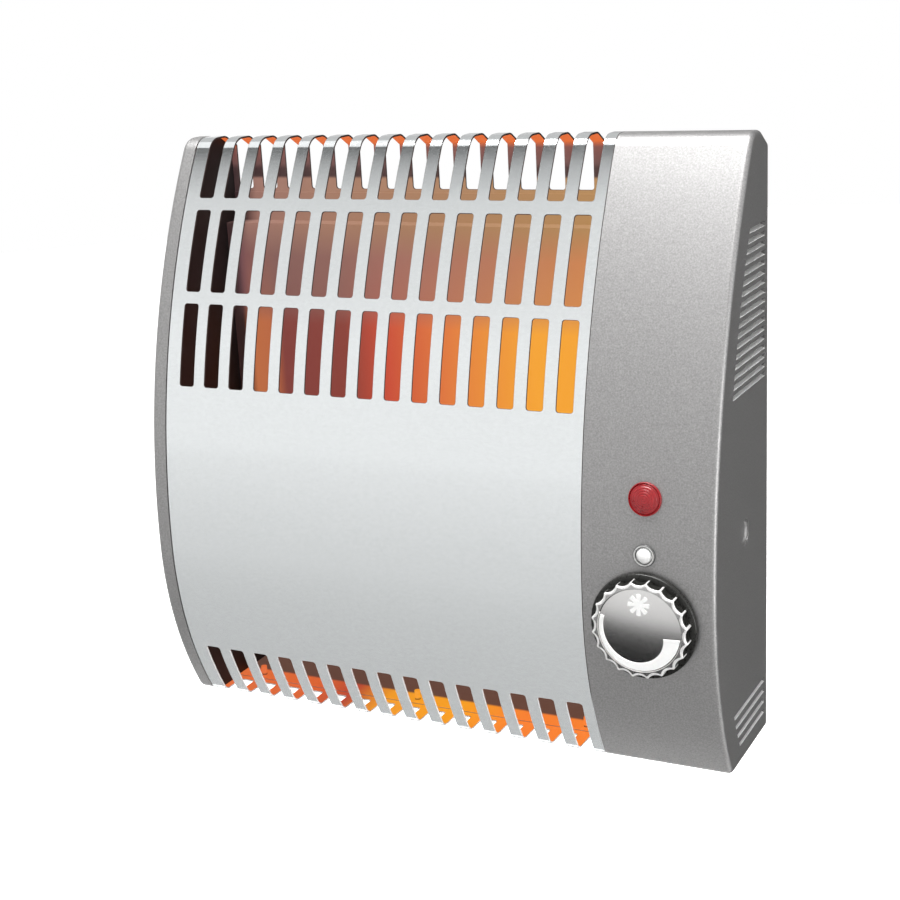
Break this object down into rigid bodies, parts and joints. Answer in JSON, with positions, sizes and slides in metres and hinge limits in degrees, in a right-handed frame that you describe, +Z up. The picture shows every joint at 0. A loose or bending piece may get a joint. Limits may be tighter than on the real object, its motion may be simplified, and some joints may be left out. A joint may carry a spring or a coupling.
{
  "type": "frost protection convector heater",
  "caption": "Small wall-hung convector heater: a slotted wrap-round sheet grille between two cheeks, the right one with louvres, a red lamp and a fluted thermostat knob.",
  "frame": {"origin": "middle of the casing's width and height, on the rear face that lies against the wall", "axes": "+X to the right of someone facing the heater, +Y into the wall, +Z up; the front faces -Y"},
  "size_m": [0.2652, 0.0783, 0.2615],
  "materials": {
    "grille_sheet": "satin bright sheet, pale and slightly blue",
    "back_sheet": "plain zinc coated sheet",
    "cheek": "moulded plastic in silver grey with a fine metallic grain",
    "black_sheet": "matt heat resistant black",
    "reflector_sheet": "bright rolled aluminium",
    "sheath": "heat tinted stainless sheath",
    "fin_sheet": "plain rolled fins",
    "ceramic": "unglazed white ceramic",
    "plated_steel": "zinc plated",
    "knob": "silver plated moulding",
    "black_plastic": "black moulding",
    "red_lens": "clear red with concentric rings",
    "neon": "clear glass envelope",
    "white_plastic": "white moulding",
    "cream_plastic": "natural nylon",
    "rubber": "black rubber",
    "brown_lead": "brown insulation",
    "blue_lead": "blue insulation",
    "earth_lead": "green and yellow insulation"
  },
  "bodies": {
    "casing": {"front_grille": "grille_sheet", "back_panel": "back_sheet", "left_end_cap": "cheek", "control_end_cap": "cheek", "left_bulkhead": "black_sheet", "right_bulkhead": "back_sheet", "reflector": "reflector_sheet", "element_tube": "sheath", "element_fins": "fin_sheet", "element_support": "back_sheet", "element_bushes": "ceramic", "element_terminals": "plated_steel", "thermostat_body": "black_plastic", "thermostat_screws": "plated_steel", "indicator_lens": "red_lens", "indicator_lamp": "neon", "index_stud": "white_plastic", "thermal_cutout": "black_plastic", "cutout_screws": "plated_steel", "terminal_block": "cream_plastic", "terminal_screws": "plated_steel", "cable_gland": "rubber", "cord_clamp": "cream_plastic", "cord_clamp_screws": "plated_steel", "cap_screws": "plated_steel", "screw_plugs": "cheek", "grille_screws": "plated_steel", "earth_screw": "plated_steel", "live_leads": "brown_lead", "neutral_leads": "blue_lead", "earth_lead": "earth_lead"},
    "knob": {"control_knob": "knob", "thermostat_spindle": "plated_steel"}
  },
  "joints": [
    {"name": "knob_turn", "type": "hinge", "parent": "casing", "child": "knob", "pos_m": [0.1036, -0.0715, -0.05795], "axis": [0, 1, 0], "range_deg": [0, 270]}
  ]
}
